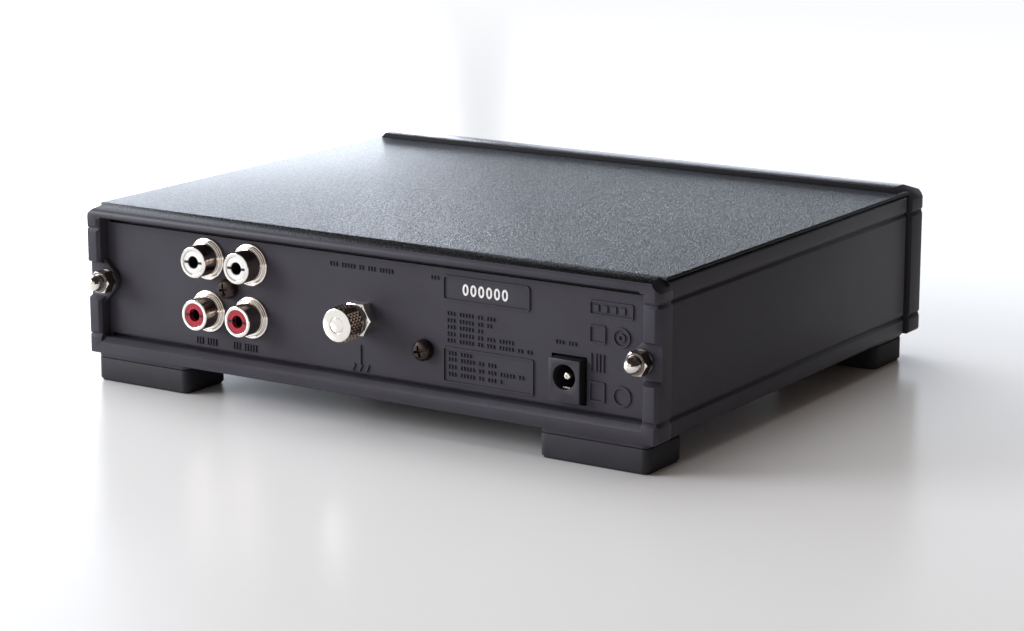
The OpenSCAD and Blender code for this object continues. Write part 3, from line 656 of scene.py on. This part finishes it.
class PREAMP_OT_panel_marks(bpy.types.Operator):
    """Models the plain moulded marks on the connector panel: frames, rings, bars and a number"""
    bl_idname = "preamp.panel_marks"
    bl_label = "Panel marks"

    # Each outline: name, left, right, foot, top and corner radius (mm)
    FRAMES = (("number_box", -51.2, -25.2, 35.6, 42.1, 0.9), ("rating_box", -52.3, -25.1, 14.3, 23.6, 0.6),
              ("upper_box", -80.9, -68.4, 37.2, 41.0, 0.5), ("lower_box", -73.0, -68.5, 15.4, 20.6, 0.5),
              ("middle_box", -73.1, -68.4, 30.2, 34.8, 0.5))
    # Each ring: x, z, outer and inner radius (mm)
    RINGS = ((-77.6, 32.5, 2.5, 2.0), (-77.6, 32.5, 1.1, 0.6), (-77.8, 17.8, 2.6, 2.1))
    # Each set of upright bars: half width, foot, top and places across (mm)
    BARS = ((0.25, 23.0, 27.6, (-69.0, -70.4, -71.4, -72.5)),
            (0.8, 38.2, 40.0, (-70.4, -72.9, -75.4, -77.9)))
    # Each row of short bars: left end, right end, middle height and bar height (mm)
    ROWS = ((55.2, 47.4, 14.8, 1.9), (42.6, 33.2, 14.8, 1.9), (10.2, -9.7, 40.9, 1.15),
            (-21.4, -24.4, 41.0, 1.0), (-26.3, -41.2, 32.3, 1.0), (-26.3, -40.5, 30.5, 1.0),
            (-26.3, -37.5, 28.8, 1.0), (-26.3, -47.6, 27.0, 1.0), (-26.3, -51.7, 25.3, 1.0),
            (-26.6, -34.4, 22.0, 1.0), (-26.6, -41.3, 20.4, 1.0), (-26.6, -50.0, 18.5, 1.0),
            (-26.6, -42.8, 16.6, 1.0), (-58.6, -64.8, 29.2, 1.0))
    PITCH = 0.92  # from one short bar to the next (mm)

    def bars(self, half, foot, top, places, height):
        return [bar("bar", (x - half) * MM, (x + half) * MM, foot * MM, top * MM, height) for x in places]

    def row_of_bars(self, left, right, z, tall, height):
        """Upright bars in groups of three, five and two."""
        count = round((left - right) / self.PITCH)
        places = [left - 0.3 - self.PITCH * i for i in range(count) if i % 13 not in (3, 9, 12)]
        return self.bars(0.24, z - tall / 2, z + tall / 2, places, height)

    def disc_ring(self, x, z, outer, inner, height):
        outer, inner, back, front = outer * MM, inner * MM, PANEL_FACE - SUNK, PANEL_FACE + height
        profile = [(inner, back), (outer, back), (outer, front), (inner, front), (inner, back)]
        return turned("ring", x * MM, z * MM, profile, 40)

    def ground_sign(self, height):
        stem = bar("stem", 0.4 * MM, 0.95 * MM, 15.4 * MM, 20.4 * MM, height)
        strokes = [block("stroke", ((x - 0.25) * MM, PANEL_FACE - SUNK, 13.4 * MM),
                         ((x + 0.25) * MM, PANEL_FACE + height, 15.4 * MM), turn=math.radians(-25))
                   for x in (2.9, 0.7, -1.5)]
        return [stem, *strokes]

    def execute(self, context):
        marks = context.scene.preamp_marks
        tall, line = marks.height, marks.line
        parts = [ring_frame(name, *(side * MM for side in sides), line, tall, radius * MM)
                 for name, *sides, radius in self.FRAMES]
        parts += [self.disc_ring(*ring, tall) for ring in self.RINGS]
        for row in self.BARS:
            parts += self.bars(*row, tall)
        for row in self.ROWS:
            parts += self.row_of_bars(*row, tall)
        parts += self.ground_sign(tall)
        mount_plastic(joined("panel_frames", parts))
        number = added(bpy.ops.object.text_add, rotation=(math.pi / 2, 0, math.pi),
                       location=(-37.9 * MM, PANEL_FACE + 0.06 * MM, 38.7 * MM))
        set_all(number.data, body="000000", size=4.0 * MM, offset=0.09 * MM, space_character=1.28,
                align_x="CENTER", align_y="CENTER", extrude=0.05 * MM)
        pick(number)
        bpy.ops.object.convert(target="MESH")
        number.scale = (0.92, 1, 1)
        settle(number, "printed_number")
        finish = Finish("number_ink")
        worn = finish.noise(0.5 * MM, 3)
        tone = finish.mix(worn.ramp(0.3, 0.6), shade(marks.ink, 0.85), marks.ink)
        ink = finish.surface(tone, 0.4 + 0.1 * worn, finish.bump(worn, 0.004 * MM))
        mount(number, ink, None)
        return {"FINISHED"}


class PREAMP_OT_phono_sockets(bpy.types.Operator):
    """Turns the four plated socket shells and their coloured inserts"""
    bl_idname = "preamp.phono_sockets"
    bl_label = "Phono sockets"

    def shell(self, name, x, z, seat, front, lip):
        flange, step, barrel, bore = 5.7 * MM, 4.9 * MM, 4.2 * MM, 3.2 * MM
        profile = [(bore, seat), (barrel, seat), (barrel, PANEL_FACE), (flange, PANEL_FACE)]
        profile += corner(flange - 0.3 * MM, PANEL_FACE + 0.4 * MM, 0.3 * MM, 0, 90)
        profile += [(step + 0.12 * MM, PANEL_FACE + 0.66 * MM), (step, PANEL_FACE + 0.55 * MM)]
        profile += corner(step - 0.25 * MM, PANEL_FACE + 1.05 * MM, 0.25 * MM, 0, 90)
        profile += [(barrel + 0.06 * MM, PANEL_FACE + 1.28 * MM), (barrel, PANEL_FACE + 1.4 * MM)]
        profile += corner(barrel - lip, front - lip, lip, 0, 90, 5)
        profile += corner(bore + 0.15 * MM, front - 0.15 * MM, 0.15 * MM, 90, 180, 3)
        profile += [(bore, seat)]
        return turned(name, x, z, profile, 72, 40)

    def insert(self, name, x, z, seat, front):
        outer, step, hole = 3.1 * MM, 2.45 * MM, 1.72 * MM
        profile = [(hole, seat), (outer, seat), (outer, front - 0.08 * MM), (outer - 0.08 * MM, front)]
        profile += [(step + 0.08 * MM, front), (step, front - 0.1 * MM), (step - 0.08 * MM, front)]
        profile += [(hole + 0.08 * MM, front), (hole, front - 0.08 * MM), (hole, seat)]
        piece = turned(name, x, z, profile, 64, 30)
        slot = block("slot", (x - 2.95 * MM, front - 3 * MM, z - 0.36 * MM),
                     (x + 2.95 * MM, front + MM, z + 0.36 * MM))
        return smooth(cut(piece, slot), 30)

    def pin_guide(self, name, x, z, seat, front, depth):
        """Painted shade: a near-black lining round the pin hole, with the two ribs that fill the insert's
        slot, so that the hole and slot show dark.
        """
        outer, hole = 1.7 * MM, 1.55 * MM
        profile = [(hole, seat), (outer, seat), (outer, front - depth),
                   (hole, front - depth - 0.1 * MM), (hole, seat)]
        parts = [turned("guide", x, z, profile, 48, 40)]
        for side in (-1, 1):
            near, far = sorted((x + side * 1.6 * MM, x + side * 2.92 * MM))
            rib = block("rib", (near, front - 2.5 * MM, z - 0.34 * MM),
                        (far, front - 0.05 * MM, z + 0.34 * MM))
            parts.append(round_edges(rib, 0.04 * MM, 1))
        return joined(name, parts)

    def execute(self, context):
        look = context.scene.preamp_fittings
        rows = (("left", "white", 0.25 * MM), ("right", "red", 1.3 * MM))  # insert, and the depth of its painted-shade lining
        for column, (row, tint, depth) in product(("input", "output"), rows):
            low, high, x, z = box_axis(f"{column}_shell_{row}")
            label = f"{column}_{row}"
            shell = self.shell(f"socket_{label}", x, z, low.y, high.y, look.lip)
            mount(shell, turned_metal(f"plating_{label}", look.plating, x, z), "nickel",
                  f"{column}_shell_{row}")
            # Painted reflection: the barrel band takes the darker, warmer barrel colour instead of the
            # plating.
            add_finish(shell, turned_metal(f"barrel_{label}", look.barrel, x, z, 0.14), lambda face: (
                4.1 * MM < off_axis(face, x, z) < 4.25 * MM and abs(face.normal.y) < 0.1))
            front = high.y - 0.12 * MM
            insert = self.insert(f"insert_{label}", x, z, low.y, front)
            mount(insert, glossy_plastic(f"insert_{label}", getattr(look, tint), 0.35, 0.1),
                  f"insert_{tint}", f"{column}_insert_{row}")
            # Painted shade: a near-black lining in the pin hole and slot stands for the shade inside them.
            guide = self.pin_guide(f"guide_{label}", x, z, low.y, front, depth)
            dark = glossy_plastic(f"guide_{label}", (0.006, 0.006, 0.007), 0.5, 0.0)
            mount(guide, dark, "black_plastic")
        dress(plain_metal("contact_brass", (0.62, 0.48, 0.22), 0.3), "phono_contacts")
        dress(glossy_plastic("socket_block", (0.02, 0.02, 0.022)), "phono_block")
        return {"FINISHED"}


class PREAMP_OT_ground_terminal(bpy.types.Operator):
    """Turns the diamond-knurled thumb nut, its washer and stud, and the chamfered hexagon nut"""
    bl_idname = "preamp.ground_terminal"
    bl_label = "Ground terminal"

    def knurled_ring(self, low, high, radius, depth):
        """A tube whose skin is drawn out into rows of small pyramids."""
        columns, rows = 40, 9
        piece = rod("knurl", TERMINAL_X, TERMINAL_Z, low, high, radius - depth, columns)
        choose(piece, "EDGE", lambda p: False)
        for edge in piece.data.edges:
            ends = [piece.data.vertices[v].co.y for v in edge.vertices]
            edge.select = abs(ends[0] - ends[1]) > (high - low) / 2
        with editing(piece, "EDGE"):
            bpy.ops.mesh.subdivide(number_cuts=rows - 2)
        pitch = (high - low) / (rows - 1)

        def raised(point):
            row = round((point.y - low) / pitch)
            angle = math.atan2(point.z - TERMINAL_Z, point.x - TERMINAL_X)
            column = round(angle / math.tau * columns)
            return 0 < row < rows - 1 and (row + column) % 2 == 0
        choose(piece, "VERT", raised)
        grow = radius / (radius - depth)
        with editing(piece):
            bpy.ops.transform.resize(value=(grow, 1, grow), center_override=(TERMINAL_X, 0, TERMINAL_Z))
            select_whole()
            bpy.ops.mesh.quads_convert_to_tris(quad_method="SHORTEST_DIAGONAL", ngon_method="BEAUTY")
        return piece

    def execute(self, context):
        look = context.scene.preamp_fittings
        low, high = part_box("ground_thumb_nut")
        radius, back, front = (high.x - low.x) / 2, low.y, high.y
        knurl = self.knurled_ring(back + 1.5 * MM, front - 0.35 * MM, radius, look.knurl_depth)
        bore = 2.05 * MM
        rim = radius - look.knurl_depth
        profile = [(bore, back)]
        profile += corner(rim - 0.3 * MM, back + 0.3 * MM, 0.3 * MM, -90, 0)
        profile += corner(rim - 0.3 * MM, back + 1.2 * MM, 0.3 * MM, 0, 90)
        profile += [(rim - 0.5 * MM, back + 1.6 * MM), (rim - 0.5 * MM, front - 0.5 * MM)]
        profile += corner(rim - 0.2 * MM, front - 0.3 * MM, 0.3 * MM, -40, 90, 5)
        profile += [(bore + 0.1 * MM, front), (bore, front - 0.12 * MM), (bore, back)]
        core = turned("nut_core", TERMINAL_X, TERMINAL_Z, profile, 72, 40)
        nut = joined("thumb_nut_knurled", [core, knurl])
        metal = turned_metal("plating_terminal", look.plating, TERMINAL_X, TERMINAL_Z, 0.12)
        mount(nut, metal, "nickel", "ground_thumb_nut", body="thumb_nut")
        # Painted reflection and shade: the knurl's diamonds get a darker brown metal than the rest of the
        # plated nut.
        add_finish(nut, plain_metal("knurl_metal", look.knurl, 0.16), lambda face: len(face.vertices) == 3)
        hex_low, hex_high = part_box("ground_hex_nut")
        hexagon = copy_of("ground_hex_nut", "terminal_hexagon")
        across = (hex_high.x - hex_low.x) / 2
        profile = [(0, hex_low.y - MM), (across + 0.2 * MM, hex_low.y - MM),
                   (across + 0.2 * MM, hex_high.y - 0.5 * MM), (across * 0.83, hex_high.y), (0, hex_high.y)]
        chamfer = turned("chamfer", TERMINAL_X, TERMINAL_Z, profile, 96)
        cut(hexagon, chamfer, "INTERSECT")
        mount(smooth(hexagon, 25), metal, "nickel", "ground_hex_nut")
        washer = softened("ground_washer", "terminal_washer", 0.12 * MM)
        mount(washer, metal, "nickel", "ground_washer", body="ground_washer")
        mount(softened("ground_stud", "terminal_stud", 0.08 * MM), metal, "nickel", "ground_stud")
        dress(plain_metal("tinned", (0.62, 0.62, 0.60)), "ground_lug", "inlet_contacts")
        return {"FINISHED"}


class PREAMP_OT_tie_nuts(bpy.types.Operator):
    """Models the two domed hexagon nuts and their washers at the ends of the tie rods"""
    bl_idname = "preamp.tie_nuts"
    bl_label = "Dome nuts"

    SKIRT = 3.2 * MM  # height of the hexagon
    NECK = 2.7 * MM  # radius just outside the dome's foot

    def dome_nut(self, name, x, z, back, front, flats):
        corner_r = flats / 2 / math.cos(math.pi / 6)
        skirt = back + self.SKIRT
        hexagon = rod("hexagon", x, z, back, skirt, corner_r, 6, turn=math.pi / 6)
        chamfer = turned("chamfer", x, z, [(0, back - MM), (corner_r + 0.2 * MM, back - MM),
                                           (corner_r + 0.2 * MM, skirt - 0.55 * MM),
                                           (flats / 2 * 0.98, skirt), (0, skirt)], 96)
        cut(hexagon, chamfer, "INTERSECT")
        smooth(hexagon, 25)
        dome_r = 2.1 * MM
        neck = corner(dome_r + 0.3 * MM, skirt + 0.3 * MM, 0.3 * MM, 270, 180, 3)
        profile = [(0, back + 0.2 * MM), (dome_r + 0.3 * MM, back + 0.2 * MM), *neck]
        profile += corner(0, front - dome_r, dome_r, 0, 90, 12)
        dome = turned("dome", x, z, profile, 64, 40)
        return joined(name, [hexagon, dome])

    def execute(self, context):
        look = context.scene.preamp_fittings
        low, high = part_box("dome_nuts")
        flats, z = high.z - low.z, (low.z + high.z) / 2
        rod_x = high.x - flats / 2 / math.cos(math.pi / 6)
        for name, x in (("left", rod_x), ("right", -rod_x)):
            nut = self.dome_nut(f"dome_nut_{name}", x, z, low.y, high.y, flats)
            metal = turned_metal(f"plating_nut_{name}", look.plating, x, z, 0.14)
            mount(nut, metal, "nickel", "dome_nuts")
            # Painted reflection and shade: the hexagon's flats and the ring at the dome's foot get a darker
            # copy of the barrel colour.
            dark = turned_metal(f"flats_{name}", shade(look.barrel, 0.4), x, z, 0.2)
            add_finish(nut, dark, lambda face: (
                abs(face.normal.y) < 0.1 if off_axis(face, x, z) > self.NECK
                else abs(face.center.y - low.y - self.SKIRT - 0.15 * MM) < 0.2 * MM))
        washers = softened("nut_washers", "dome_nut_washers", 0.12 * MM)
        # The washers take half of the barrel colour, which is painted reflection.
        mount(washers, plain_metal("washer_plate", shade(look.barrel, 0.5), 0.4), "nickel", "nut_washers")
        dress(plain_metal("rod_steel", (0.60, 0.59, 0.57), 0.3), "tie_rods", "panel_bracket", "board_screws")
        return {"FINISHED"}


class PREAMP_OT_panel_screws(bpy.types.Operator):
    """Turns the two dark cross-head screws that hold the connectors to the panel"""
    bl_idname = "preamp.panel_screws"
    bl_label = "Panel screws"

    HEAD = 2.75 * MM  # radius

    def screw(self, x, z, front):
        head = self.HEAD
        shoulder = PANEL_FACE + 1.5 * MM
        profile = [(0, PANEL_FACE - 0.2 * MM), (head, PANEL_FACE - 0.2 * MM), (head, PANEL_FACE + 0.3 * MM)]
        turns = [math.radians(degrees) for degrees in range(0, 91, 10)]
        profile += [(head * math.cos(a), shoulder + (front - shoulder) * math.sin(a)) for a in turns]
        piece = turned("screw", x, z, profile, 64, 50)
        for turn in (15, 105):
            tool = block("cross", (x - 1.6 * MM, front - 1.3 * MM, z - 0.32 * MM),
                         (x + 1.6 * MM, front + MM, z + 0.32 * MM), turn=math.radians(turn))
            cut(piece, tool)
        return smooth(piece, 40)

    def execute(self, context):
        rgb = context.scene.preamp_fittings.screw
        low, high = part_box("panel_screws")
        places = ((high.x - self.HEAD, high.z - self.HEAD), (low.x + self.HEAD, low.z + self.HEAD))
        screws = [self.screw(x, z, high.y) for x, z in places]
        finish = Finish("screw_black")
        stains = finish.noise(0.7 * MM, 4)
        tone = finish.mix(stains.ramp(0.35, 0.7), shade(rgb, 0.6), shade(rgb, 1.4))
        metal = finish.surface(tone, 0.32 + 0.2 * stains, finish.bump(stains, 0.02 * MM), Metallic=0.8)
        mount(joined("cross_head_screws", screws), metal, "screw_black", "panel_screws")
        return {"FINISHED"}


class PREAMP_OT_power_inlet(bpy.types.Operator):
    """Models the power inlet's softened housing, its spring contact and its centre pin"""
    bl_idname = "preamp.power_inlet"
    bl_label = "Power inlet"

    def execute(self, context):
        housing = softened("inlet_housing", "inlet_body", 0.18 * MM)
        dark = glossy_plastic("inlet_plastic", (0.008, 0.008, 0.009), 0.55, 0.0)
        mount(housing, dark, "black_plastic", "inlet_housing")
        _, high, x, _ = box_axis("inlet_housing")
        # Painted reflection: the housing is black plastic, and its front face gets the lighter panel plastic
        # to stand for the sheen it mirrors.
        add_finish(housing, case_plastic(),
                   lambda face: face.normal.y > 0.9 and face.center.y > high.y - 0.1 * MM)
        pin_low, pin_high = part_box("inlet_pin")
        z = box_axis("power_button")[3]
        radius = 1.05 * MM
        profile = [(0, pin_low.y + MM), (radius, pin_low.y + MM)]
        profile += corner(radius - 0.6 * MM, pin_high.y - 0.6 * MM, 0.6 * MM, 0, 90, 5)
        profile += [(0.3 * MM, pin_high.y), (0.25 * MM, pin_high.y - 0.5 * MM), (0, pin_high.y - 0.5 * MM)]
        pin = turned("inlet_centre_pin", x, z, profile, 40, 40)
        tab = block("tab", (x - 1.4 * MM, pin_low.y, pin_low.z),
                    (x + 1.4 * MM, pin_low.y + 0.6 * MM, z + MM))
        metal = turned_metal("pin_plating", context.scene.preamp_fittings.plating, x, z, 0.12)
        mount(joined("inlet_centre_pin", [pin, tab]), metal, "nickel", "inlet_pin")
        spring = block("spring", (x - 1.1 * MM, PANEL_FACE - 4 * MM, z - 3.15 * MM),
                       (x + 1.1 * MM, high.y - 1.2 * MM, z - 2.75 * MM))
        round_edges(spring, 0.1 * MM)
        mount(spring, plain_metal("spring_tin", (0.75, 0.74, 0.72), 0.2), "tin")
        return {"FINISHED"}


class PREAMP_OT_front_controls(bpy.types.Operator):
    """Turns the power button with its dished face, and finishes the switch, light guide and lamp"""
    bl_idname = "preamp.front_controls"
    bl_label = "Front controls"

    def execute(self, context):
        low, high, x, z = box_axis("power_button")
        radius = (high.x - low.x) / 2
        profile = [(0, high.y), (radius, high.y), (radius, low.y + 0.5 * MM)]
        profile += corner(radius - 0.5 * MM, low.y + 0.5 * MM, 0.5 * MM, 0, -90, 4)
        profile += [(radius - 1.1 * MM, low.y + 0.12 * MM), (radius * 0.4, low.y + 0.42 * MM),
                    (0, low.y + 0.5 * MM)]
        button = turned("power_button_cap", x, z, profile, 72, 40)
        mount(button, glossy_plastic("button_black", (0.028, 0.028, 0.032), 0.4, 0.1), "button_black",
              "power_button", body="power_button")
        dress(glossy_plastic("plunger_white", (0.72, 0.72, 0.70)), "switch_plunger")
        dress(glossy_plastic("switch_case", (0.035, 0.035, 0.038), 0.35), "power_switch")
        dress(clear_plastic("clear_guide", (0.85, 0.9, 0.95)), "light_guide")
        dress(clear_plastic("lamp_blue", (0.2, 0.4, 0.9)), "indicator_lamp")
        return {"FINISHED"}


class PREAMP_OT_board_parts(bpy.types.Operator):
    """Finishes the circuit board and what stands on it"""
    bl_idname = "preamp.board_parts"
    bl_label = "Board parts"

    def execute(self, context):
        dress(board_lacquer("board_green", (0.012, 0.09, 0.04)), "circuit_board")
        dress(glossy_plastic("can_sleeve", (0.02, 0.025, 0.08), 0.3), "electrolytic_capacitors")
        dress(glossy_plastic("film_red", (0.42, 0.10, 0.03), 0.3), "film_capacitors")
        dress(glossy_plastic("chip_black", (0.03, 0.03, 0.03), 0.45, 0.0),
              "amplifier_chips", "voltage_regulators")
        dress(glossy_plastic("resistor_blue", (0.12, 0.28, 0.50), 0.35), "resistors")
        dress(plain_metal("sink_black", (0.06, 0.06, 0.065), 0.4), "heat_sink")
        dress(glossy_plastic("relay_blue", (0.04, 0.09, 0.30), 0.35), "muting_relay")
        return {"FINISHED"}


class PREAMP_OT_stage(bpy.types.Operator):
    """Sets the glossy pale floor, the soft lamps, the dim studio round them and the camera"""
    bl_idname = "preamp.stage"
    bl_label = "Stage"

    def floor(self, rgb):
        floor = added(bpy.ops.mesh.primitive_circle_add, vertices=96, radius=6, fill_type="NGON")
        floor.name = "floor"
        finish = Finish("floor_gloss")
        across, along, _ = finish.axes()
        distance = ((across * 0.7 + 0.05) ** 2 + along ** 2) ** 0.5
        cloud = finish.noise(0.4, 2)
        tone = finish.mix(cloud, shade(rgb, 0.985), rgb)
        lit = finish.shader(tone, 0.22 + 0.03 * cloud, Specular_IOR_Level=0.2)
        white = finish.add("ShaderNodeEmission", None, (0.97, 0.98, 1))
        seen = finish.add("ShaderNodeLightPath", output="Is Camera Ray")
        mirrored = finish.add("ShaderNodeLightPath", output="Is Glossy Ray")
        fade = distance.ramp(0.3, 0.85) * seen + along.ramp(0.1, 0.2) * mirrored
        blend = finish.add("ShaderNodeMixShader", None, fade, lit, white)
        floor.data.materials.append(finish.closed(blend))

    def lamp(self, name, turn, rise, distance, width, height, power, rgb=(1, 1, 1), mirrored=True):
        """An area lamp. Turn is the angle from -Y towards +X, and rise is above the floor."""
        a, e = math.radians(turn), math.radians(rise)
        away = Vector((math.sin(a) * math.cos(e), -math.cos(a) * math.cos(e), math.sin(e)))
        lamp = added(bpy.ops.object.light_add, type="AREA", location=AIM + away * distance)
        lamp.name = name
        set_all(lamp.data, shape="RECTANGLE", size=width, size_y=height, energy=power, color=rgb)
        lamp.rotation_mode = "QUATERNION"
        lamp.rotation_quaternion = away.to_track_quat("Z", "Y")
        lamp.visible_glossy = mirrored

    def wall(self, name, turns, rises, glow, rgb, distance=1.5):
        """A pale surface of the studio that the glossy pieces mirror, between two turns and rises."""
        width = 2 * distance * math.tan(math.radians(turns[1] - turns[0]) / 2)
        height = 2 * distance * math.tan(math.radians(rises[1] - rises[0]) / 2)
        self.lamp(name, sum(turns) / 2, sum(rises) / 2, distance, width, height,
                  glow * math.pi * width * height, rgb)

    def execute(self, context):
        stage = context.scene.preamp_stage
        self.floor(stage.floor)
        sky = (0.83, 0.9, 1)  # the bluish light of a window
        self.lamp("key", 66, 32, 1.6, 1.5, 1.2, stage.key, mirrored=False)
        self.lamp("top", 60, 75, 1.6, 1.4, 1.4, stage.top, mirrored=False)
        self.lamp("fill", 124, 20, 1.1, 0.6, 0.5, stage.fill, (0.95, 0.95, 1))
        self.wall("side_wall", (46, 106), (-1, 40), 1.5, sky)
        self.wall("far_wall_left", (35.3, 56), (-1, 9), 9.8, sky)
        self.wall("front_wall", (115, 200), (-1, 34), 0.8, (1, 0.98, 0.95))
        self.wall("far_wall_right", (-12, 33), (-1, 16), 2.2, sky)
        studio = Finish("studio", "worlds")
        mirrored = studio.add("ShaderNodeLightPath", output="Is Glossy Ray")
        glow, dim = (studio.add("ShaderNodeBackground", None, (1.0, 0.76, 0.64), strength)
                     for strength in (0.13, 0.03))
        blend = studio.add("ShaderNodeMixShader", None, mirrored, glow, dim)
        context.scene.world = studio.closed(blend, "ShaderNodeOutputWorld")
        camera = added(bpy.ops.object.camera_add, location=CAMERA_PLACE)
        camera.rotation_mode = "QUATERNION"
        camera.rotation_quaternion = CAMERA_VIEW.to_track_quat("-Z", "Y")
        set_all(camera.data, lens=stage.lens, sensor_width=36, clip_start=0.01)
        context.scene.camera = camera
        context.scene.view_settings.view_transform = "Standard"
        return {"FINISHED"}


STEPS = (PREAMP_OT_case, PREAMP_OT_bezels, PREAMP_OT_feet, PREAMP_OT_panel_marks,
         PREAMP_OT_phono_sockets, PREAMP_OT_ground_terminal, PREAMP_OT_tie_nuts,
         PREAMP_OT_panel_screws, PREAMP_OT_power_inlet, PREAMP_OT_front_controls,
         PREAMP_OT_board_parts, PREAMP_OT_stage)
GROUPS = {"preamp_case": PreampCaseLook, "preamp_fittings": PreampFittingLook,
          "preamp_marks": PreampMarks, "preamp_stage": PreampStage}


class PREAMP_PT_panel(bpy.types.Panel):
    """Lists the preamp's settings and steps in the 3D view's sidebar"""
    bl_idname = "PREAMP_PT_panel"
    bl_label = "Phono preamp"
    bl_space_type = "VIEW_3D"
    bl_region_type = "UI"
    bl_category = "Preamp"

    def draw(self, context):
        for group, kind in GROUPS.items():
            box = self.layout.box()
            for name in kind.__annotations__:
                box.prop(getattr(context.scene, group), name)
        for step in STEPS:
            self.layout.operator(step.bl_idname)


def register():
    for kind in (*GROUPS.values(), *STEPS, PREAMP_PT_panel):
        bpy.utils.register_class(kind)
    for name, kind in GROUPS.items():
        setattr(bpy.types.Scene, name, PointerProperty(type=kind))


def unregister():
    for name in GROUPS:
        delattr(bpy.types.Scene, name)
    for kind in (PREAMP_PT_panel, *reversed(STEPS), *reversed(GROUPS.values())):
        bpy.utils.unregister_class(kind)


def main():
    register()
    for step in STEPS:
        group, name = step.bl_idname.split(".")
        getattr(getattr(bpy.ops, group), name)()


if __name__ == "__main__":
    main()
